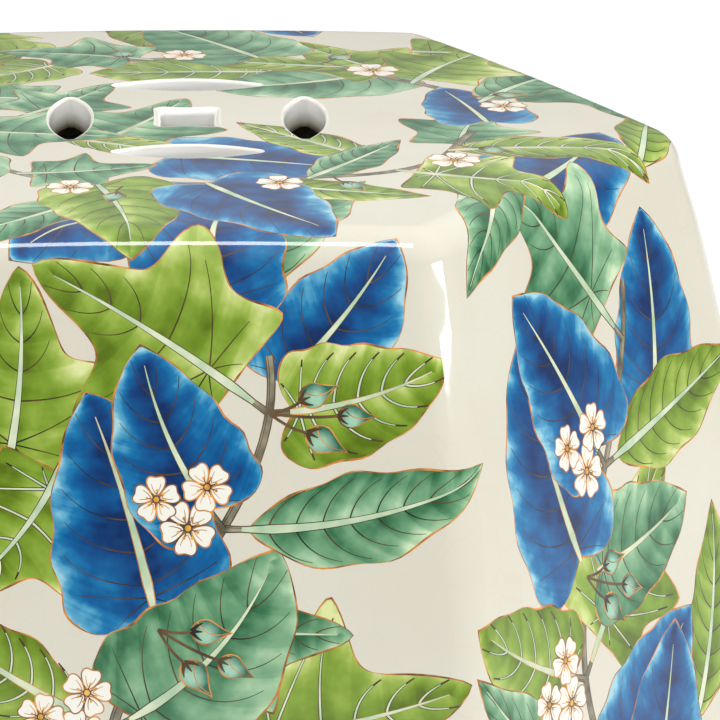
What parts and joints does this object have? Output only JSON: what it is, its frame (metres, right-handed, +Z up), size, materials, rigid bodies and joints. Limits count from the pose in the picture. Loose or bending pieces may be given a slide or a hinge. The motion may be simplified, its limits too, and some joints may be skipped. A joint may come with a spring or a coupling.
{
  "type": "garden stool",
  "caption": "Six-sided barrel-shaped ceramic garden stool with a pierced, gently domed seat, luted wall sections, an open base and felt feet, painted with leaves.",
  "frame": {"origin": "middle of the footprint, on the floor", "axes": "+Z up; -Y is the front facet; +X and -X are corners"},
  "size_m": [0.3491, 0.286, 0.457],
  "materials": {
    "painted_glaze": "cream gloss glaze over hand-painted leaves",
    "bare_clay": "unglazed fired clay",
    "felt": "pressed felt"
  },
  "bodies": {
    "root": {"seat_top": "painted_glaze", "base_ring": "painted_glaze", "wall_panel_1": "painted_glaze", "wall_panel_2": "painted_glaze", "wall_panel_3": "painted_glaze", "wall_panel_4": "painted_glaze", "wall_panel_5": "painted_glaze", "wall_panel_6": "painted_glaze", "shoulder_coil": "bare_clay", "base_coil": "bare_clay", "corner_coil_1": "bare_clay", "corner_coil_2": "bare_clay", "corner_coil_3": "bare_clay", "corner_coil_4": "bare_clay", "corner_coil_5": "bare_clay", "corner_coil_6": "bare_clay", "foot_pad_1": "felt", "foot_pad_2": "felt", "foot_pad_3": "felt", "foot_pad_4": "felt", "foot_pad_5": "felt", "foot_pad_6": "felt"}
  },
  "joints": []
}
